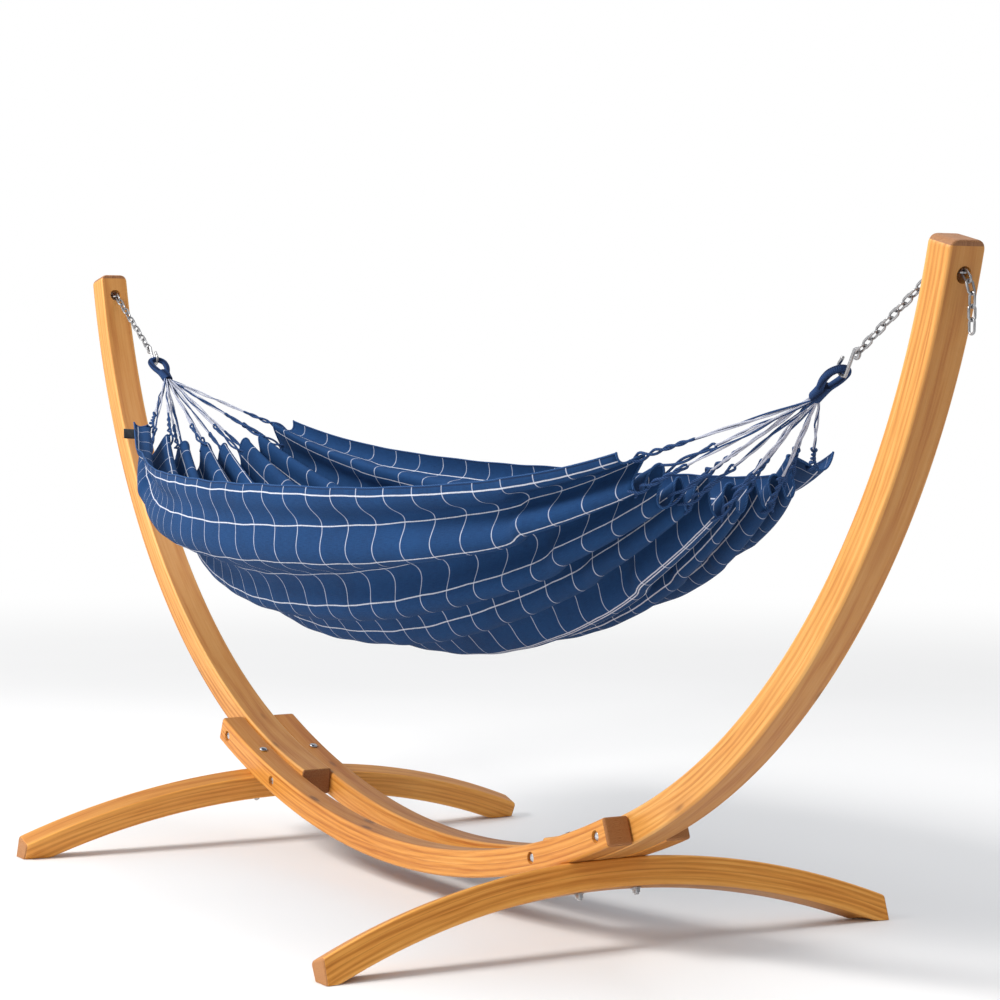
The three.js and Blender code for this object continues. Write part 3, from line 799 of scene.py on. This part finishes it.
neck_tall = np.interp(neck_a, NECK_AT, (7.0, 9.5, 10.5, 11.5, 12.0, 10.5)) * MM
oval = 1 / np.sqrt((np.cos(neck_turn)[None] / neck_wide[:, None]) ** 2
                   + (np.sin(neck_turn)[None] / neck_tall[:, None]) ** 2)
neck_wraps = np.abs(np.sin(np.pi * neck_a[:, None] / NECK_WRAP_LAY + neck_turn[None, :] / 2))
tube(eye, neck_points, oval + WRAP_TALL * neck_wraps, 36, normal=Y)

for side_name, side in SIDES:
    chain_body, tail_body = f"{side_name}_chain", f"{side_name}_tail"
    anchor.make(f"anchor_links_{side_name}", [ZINC], "stand", "galvanised_steel",
                (f"chain_anchor_{side_name}",), side)
    tail.make(f"tail_links_{side_name}", [ZINC], tail_body, "galvanised_steel",
              (f"chain_tail_{side_name}",), side)
    run.make(f"run_links_{side_name}", [ZINC], chain_body, "galvanised_steel", (f"chain_{side_name}",), side)
    hook.make(f"s_hook_{side_name}", [ZINC], chain_body, "galvanised_steel", (f"hook_{side_name}",), side)
    eye.make(f"bound_eye_{side_name}", [BOUND_CORD], "hammock", "navy_cord", (f"eye_{side_name}",), side)
    pin = frame["nodes"][f"chain_pin_{side_name}"]
    pin.data.materials.clear()
    pin.data.materials.append(STAINLESS)

# ---- cloth ----
BOTTOM, HALF_MID, HALF_END, DEEP_MID, DEEP_END = 0.545, 0.530, 0.215, 0.360, 0.070
WRAP = math.radians(80)
CLOTH_END = on_line(500.5)
FOLDS = 8
CLOTH_THICK, SIDE_HEM_R, END_HEM_R = 0.0012, 0.0016, 0.0024
ROWS, COLUMNS = 200, 360
LEAN, LEAN_FROM = 0.50, 0.10
STEEPEST, SWING_LIMIT, CALM_EDGE = 1.50, 3.0, 0.07
SCALLOP, RIPPLE = 0.010, 0.0022
LOOPS = 13


def base_section(u):
    """Half the trough's section at u: its lengths, points (y, z) and slopes, and the height of its floor."""
    open_ = math.cos(u * math.pi / 2)
    half = HALF_END + (HALF_MID - HALF_END) * open_
    deep = DEEP_END + (DEEP_MID - DEEP_END) * open_
    t = np.linspace(0.0, WRAP, 240)
    y = half * np.sin(t) / math.sin(WRAP)
    z = deep * (1 - np.cos(t)) / (1 - math.cos(WRAP))
    step = np.hypot(np.diff(y), np.diff(z))
    length = np.concatenate([[0.0], np.cumsum(step)])
    slope = np.arctan2(np.gradient(z), np.gradient(y))
    lean = LEAN * (0.45 + 0.55 * open_)
    part = np.clip((length - (length[-1] - LEAN_FROM)) / LEAN_FROM, 0, 1)
    slope = slope + lean * part * part * (3 - 2 * part)
    y2 = np.concatenate([[0.0], np.cumsum(step * np.cos((slope[1:] + slope[:-1]) / 2))])
    z2 = np.concatenate([[0.0], np.cumsum(step * np.sin((slope[1:] + slope[:-1]) / 2))])
    return length, y2, z2, slope, BOTTOM + (CLOTH_END[2] - BOTTOM) * u * u


luck = random.Random(7)
pleat_luck = [[(luck.uniform(-1, 1), luck.uniform(0, 6.28)) for _ in range(4)] for _ in range(3)]


def wander(w, which):
    """A slow, smooth wander along the width, different for each end."""
    waves = [a * np.sin(2 * np.pi * (k + 1) * w / FLAT_WIDE + p)
             for k, (a, p) in enumerate(pleat_luck[which])]
    return sum(waves) / 2


def cloth_row(u, w):
    """Points of the cloth at u for flat places w across it."""
    length, y, z, slope, floor_z = base_section(u)
    blend = 0.5 + 0.5 * math.tanh(2.2 * u)
    shift = (1 - blend) * wander(w, 0) + blend * wander(w, 1)
    turn = 2 * np.pi * FOLDS * w / FLAT_WIDE + 0.9 * shift + 0.6
    edge = np.clip((FLAT_WIDE / 2 - np.abs(w)) / CALM_EDGE, 0, 1)
    even = (1 + 0.14 * wander(w, 2)) * (0.12 + 0.88 * edge * edge * (3 - 2 * edge))
    step = np.diff(w)
    # the swing that takes up the cloth's whole width, as far as the pleats stay short of curling over
    low, high = 0.0, SWING_LIMIT
    for _ in range(30):
        swing = (low + high) / 2
        heading = np.minimum(swing * even, STEEPEST) * np.sin(turn)
        middle = (heading[1:] + heading[:-1]) / 2
        if np.sum(step * np.cos(middle)) > 2 * length[-1]:
            low = swing
        else:
            high = swing
    across = np.concatenate([[0.0], np.cumsum(step * np.cos(middle))])
    proud = np.concatenate([[0.0], np.cumsum(step * np.sin(middle))])
    across = (across - across[-1] / 2) * (2 * length[-1] / across[-1])
    proud = proud - proud.mean()
    size = np.abs(across)
    sign = np.sign(across)
    by, bz, bs = np.interp(size, length, y), np.interp(size, length, z), np.interp(size, length, slope)
    py = sign * (by - proud * np.sin(bs))
    pz = bz + proud * np.cos(bs)
    return py, pz + floor_z


def cloth_grid():
    """The cloth's points, row by row, and their places on the flat cloth."""
    w = np.linspace(-FLAT_WIDE / 2, FLAT_WIDE / 2, COLUMNS + 1)
    us = np.linspace(-1, 1, ROWS + 1)
    verts = np.zeros((ROWS + 1, COLUMNS + 1, 3))
    flat = np.zeros((ROWS + 1, COLUMNS + 1, 2))
    for i, u in enumerate(us):
        y, z = cloth_row(u, w)
        corner = (np.abs(w) / (FLAT_WIDE / 2)) ** 8
        scallop = SCALLOP * np.cos(2 * np.pi * LOOPS * (w / FLAT_WIDE + 0.5) - np.pi)
        reach = 1 + (0.008 * corner - 0.006 + 0.5 * scallop * (1 - corner)) * abs(u) ** 14
        ripple = RIPPLE * np.sin(9.0 * w + 31 * u) * np.sin(17.0 * u + 5 * w) * (1 - abs(u))
        verts[i, :, 0] = u * CLOTH_END[0] * reach
        verts[i, :, 1] = y
        verts[i, :, 2] = z + ripple + 0.014 * corner * abs(u) ** 8
        flat[i, :, 0] = w
    steps = np.linalg.norm(np.diff(verts, axis=0), axis=2)
    along = np.concatenate([np.zeros((1, COLUMNS + 1)), np.cumsum(steps, axis=0)])
    flat[:, :, 1] = (along / along[-1] - 0.5) * FLAT_LONG
    return verts, flat


cloth_points, cloth_flat = cloth_grid()
cloth = Soup()
quads, uvs = [], []
for i in range(ROWS):
    for j in range(COLUMNS):
        ring = ((i, j), (i + 1, j), (i + 1, j + 1), (i, j + 1))
        quads.append(tuple(a * (COLUMNS + 1) + b for a, b in ring))
        uvs.append([tuple(cloth_flat[a, b]) for a, b in ring])
cloth.add(cloth_points.reshape(-1, 3), quads, uvs)
cloth_piece = cloth.make("checked_cloth", [CHECK], "hammock", "navy_check_cloth", ("cloth",))
thick = cloth_piece.modifiers.new("thickness", "SOLIDIFY")
thick.thickness, thick.offset = CLOTH_THICK, 0.0

# sewn hems: along both long edges and round both ends
hems = Soup()
for j in (0, COLUMNS):
    tube(hems, cloth_points[::2, j], SIDE_HEM_R, 8, round_ends=True)
for i in (0, ROWS):
    tube(hems, cloth_points[i], END_HEM_R, 8, round_ends=True)
HEM = cord_material("hem_navy", (0.012, 0.038, 0.115), (0.030, 0.090, 0.235), 0.02)
hem_piece = hems.make("sewn_hems", [HEM], "hammock", "navy_check_cloth")

# the blank tag, which stands out from the near edge at the left end
TAG = Graph("tag_weave")
tag_place = TAG.node("ShaderNodeTexCoord", out=2)
tag_weave = TAG.noise(tag_place, 60.0, 4.0, 0.6)
TAG.finish(TAG.ramp(tag_weave, (0.3, (0.010, 0.011, 0.013)), (0.7, (0.030, 0.032, 0.036))), 0.8,
           TAG.bump(tag_weave, 0.3, 0.0003), Sheen_Weight=0.1)
TAG_AT, TAG_LONG, TAG_TALL, TAG_SEWN, TAG_HALF_THICK = 0.025, 0.031, 0.024, 0.003, 0.0005
TAG_ROWS, TAG_COLUMNS = 12, 8
tag_start = cloth_points[int(ROWS * TAG_AT), 0]
tag_out, tag_down = unit((-0.12, -1.0, 0.06)), unit((0.40, -0.1, -0.9))
tag_face = np.cross(tag_out, tag_down)
tag = Soup()
tag_points, tag_uvs = [], []
for face_y in (-TAG_HALF_THICK, TAG_HALF_THICK):
    for i in range(TAG_ROWS + 1):
        for j in range(TAG_COLUMNS + 1):
            s, t = TAG_LONG * i / TAG_ROWS, TAG_TALL * j / TAG_COLUMNS
            curl = 0.004 * (t / TAG_TALL) ** 2 + 0.0012 * math.sin(3 * s / TAG_LONG)
            flat_at = tag_out * (s - TAG_SEWN) + tag_down * (t - TAG_SEWN)
            tag_points.append(tag_start + flat_at + tag_face * (face_y - curl))
            tag_uvs.append((s, t))
row_of = TAG_COLUMNS + 1
face_of = (TAG_ROWS + 1) * row_of
tag_faces = []
for i in range(TAG_ROWS):
    for j in range(TAG_COLUMNS):
        a = i * row_of + j
        tag_faces.append((a, a + 1, a + row_of + 1, a + row_of))
        tag_faces.append((face_of + a, face_of + a + row_of, face_of + a + row_of + 1, face_of + a + 1))
rim = [i * row_of for i in range(TAG_ROWS)] + [TAG_ROWS * row_of + j for j in range(TAG_COLUMNS)]
rim += [face_of - 1 - row_of * i for i in range(TAG_ROWS)] + [TAG_COLUMNS - j for j in range(TAG_COLUMNS)]
for k, a in enumerate(rim):
    b = rim[(k + 1) % len(rim)]
    tag_faces.append((a, b, b + face_of, a + face_of))
tag.add(tag_points, tag_faces, [[tag_uvs[v % face_of] for v in f] for f in tag_faces])
tag_piece = tag.make("blank_tag", [TAG.material], "hammock", "dark_tag", ("tag",))

# ---- suspension cords ----
LOOP_CORD_R, STRAND_R = 0.0027, 0.0018
# a loop's length, its legs' half spread at the hem and above it, and its ring at the top
LOOP_LONG, LOOP_SPARE, LEGS_OPEN, LEGS_CLOSED = 0.10, 0.045, 0.0085, 0.0024
RING_HALF, RING_FROM, RING_TALL, RING_TOP = 0.0052, 0.006, 0.009, 0.0125


def twisted(soup, line, reach, radius, turns, phase, slot, sides=7):
    """A strand that winds round a line at a distance that may change along it."""
    line = np.asarray(line)
    way = unit(line[-1] - line[0])
    side = unit(np.cross(way, ABOVE if abs(np.dot(way, ABOVE)) < 0.8 else Y))
    up = np.cross(way, side)
    t = np.linspace(0, 1, len(line))
    turn = 2 * np.pi * turns * t + phase
    offset = (np.cos(turn)[:, None] * side + np.sin(turn)[:, None] * up) * np.asarray(reach).reshape(-1, 1)
    tube(soup, line + offset, radius, sides, slot=slot)


for side_name, side in SIDES:
    end_edge = cloth_points[ROWS if side > 0 else 0] * (side, 1.0, 1.0)
    inner = cloth_points[ROWS - 3 if side > 0 else 3] * (side, 1.0, 1.0)
    luck = random.Random(31 if side > 0 else 57)
    fan = Soup()
    for k in range(LOOPS):
        w_at = (k + 0.5) / LOOPS
        j = int(round(w_at * COLUMNS))
        foot_at = end_edge[j] * 0.75 + inner[j] * 0.25
        tie = on_line(148.5, luck.uniform(-6, 6), (2 * w_at - 1) * 9 + luck.uniform(-1.5, 1.5))
        way = unit(tie - foot_at)
        reach = LOOP_LONG + luck.uniform(0.0, LOOP_SPARE)
        head = foot_at + way * reach
        spread = unit(end_edge[min(j + 4, COLUMNS)] - end_edge[max(j - 4, 0)])
        # the navy loop: two legs from the hem that twist together up to a small ring
        t = np.linspace(0, 1, 60)
        winds = luck.choice((1.0, 1.5, 2.0))
        side_way = unit(np.cross(way, np.cross(spread, way)))
        up_way = np.cross(way, side_way)
        apart = LEGS_OPEN * (1 - t) ** 3 + LEGS_CLOSED
        turn = 2 * np.pi * winds * t**1.2
        legs = []
        for sign in (1, -1):
            legs.append(foot_at + way * reach * t[:, None] + sign * apart[:, None]
                        * (np.cos(turn)[:, None] * side_way + np.sin(turn)[:, None] * up_way))
        last = sign * (np.cos(turn[-1]) * side_way + np.sin(turn[-1]) * up_way)
        bend = [head - last * RING_HALF * math.cos(a) + way * (RING_FROM + RING_TALL * math.sin(a))
                for a in np.linspace(0.0, math.pi, 9)]
        line = np.concatenate([legs[0][:-1], bend, legs[1][:-1][::-1]])
        line = through(line[::2], 4)
        tube(fan, line, LOOP_CORD_R, 9, slot=0, round_ends=True)
        # the strands from the ring to the neck
        top = head + way * RING_TOP
        strands = [(1, 0.0), (0 if k % 3 == 1 else 1, math.pi)]
        if k % 2 == 0:
            strands.append((0, math.pi / 2))
        middle = top + (tie - top) * t[:, None]
        apart = 0.0012 + 0.0016 * np.sin(np.pi * t)
        for colour, phase in strands:
            turns = luck.uniform(0.7, 1.6)
            twisted(fan, middle, apart, STRAND_R, turns, phase + luck.uniform(-0.3, 0.3), colour)
    fan.make(f"suspension_cords_{side_name}", [NAVY_CORD, WHITE_CORD], "hammock", "navy_cord",
             (f"cords_{side_name}",), side)

# ---- stage ----
floor_look = Graph("floor_pale")
floor_place = floor_look.node("ShaderNodeTexCoord", out=3)
floor_look.finish(floor_look.ramp(floor_look.noise(floor_place, 0.7, 2.0), (0.3, (0.80, 0.80, 0.80)),
                                  (0.7, (0.83, 0.83, 0.83))), 0.7)
from_middle = floor_look.node("ShaderNodeVectorMath", out=1, p_operation="LENGTH", i0=floor_place)
far = smooth_step(floor_look, from_middle, 2.6, 8.0)
glow = floor_look.nodes.new("ShaderNodeEmission")
blend_far = floor_look.nodes.new("ShaderNodeMixShader")
floor_look.links.new(far, blend_far.inputs[0])
floor_look.links.new(floor_look.shader.outputs[0], blend_far.inputs[1])
floor_look.links.new(glow.outputs[0], blend_far.inputs[2])
floor_look.links.new(blend_far.outputs[0], floor_look.nodes["Material Output"].inputs[0])
WIDE = 90
floor_mesh = bpy.data.meshes.new("floor")
floor_mesh.from_pydata([(-WIDE, -WIDE, 0), (WIDE, -WIDE, 0), (WIDE, WIDE, 0), (-WIDE, WIDE, 0)], [],
                       [(0, 1, 2, 3)])
floor_mesh.materials.append(floor_look.material)
floor = bpy.data.objects.new("floor", floor_mesh)
floor.location.z = -0.001
in_scene.link(floor)

world = bpy.data.worlds.new("studio")
bpy.context.scene.world = world
world.use_nodes = True
studio, tree = world.node_tree.nodes, world.node_tree.links
seen, lit = studio["Background"], studio.new("ShaderNodeBackground")
seen.inputs[0].default_value = (1.0, 1.0, 1.0, 1.0)
lit.inputs[0].default_value = (0.97, 0.98, 1.0, 1.0)
# the studio's walls are brighter in front and above than at the right
toward = studio.new("ShaderNodeVectorMath")
toward.operation = "DOT_PRODUCT"
toward.inputs[1].default_value = (-0.45, -0.62, 0.64)
tree.new(studio.new("ShaderNodeTexCoord").outputs[0], toward.inputs[0])
spread = studio.new("ShaderNodeMapRange")
tree.new(toward.outputs[1], spread.inputs[0])
for socket, value in zip(spread.inputs[1:5], (-1.0, 1.0, 0.10, 0.90)):
    socket.default_value = value
tree.new(spread.outputs[0], lit.inputs[1])
choose, path = studio.new("ShaderNodeMixShader"), studio.new("ShaderNodeLightPath")
tree.new(path.outputs[0], choose.inputs[0])
tree.new(lit.outputs[0], choose.inputs[1])
tree.new(seen.outputs[0], choose.inputs[2])
tree.new(choose.outputs[0], studio["World Output"].inputs[0])
bpy.context.scene.view_settings.view_transform = "Standard"


def area_light(name, place, target, size, power, color):
    """A square lamp at a place, facing a target."""
    data = bpy.data.lights.new(name, "AREA")
    data.shape, data.size, data.energy, data.color = "SQUARE", size, power, color
    lamp = bpy.data.objects.new(name, data)
    back = unit(np.array(place, float) - target)
    right = unit(np.cross((0, 0, 1), back))
    turn = np.eye(4)
    turn[:3, :3] = np.array((right, np.cross(back, right), back)).T
    turn[:3, 3] = place
    lamp.matrix_world = Matrix(turn.tolist())
    in_scene.link(lamp)


area_light("key", (-1.0, -5.0, 5.0), (0.2, 0.0, 0.8), 2.4, 470.0, (1.0, 0.98, 0.95))
area_light("top", (0.5, 1.5, 6.0), (0.0, 0.0, 0.5), 3.5, 120.0, (0.97, 0.98, 1.0))
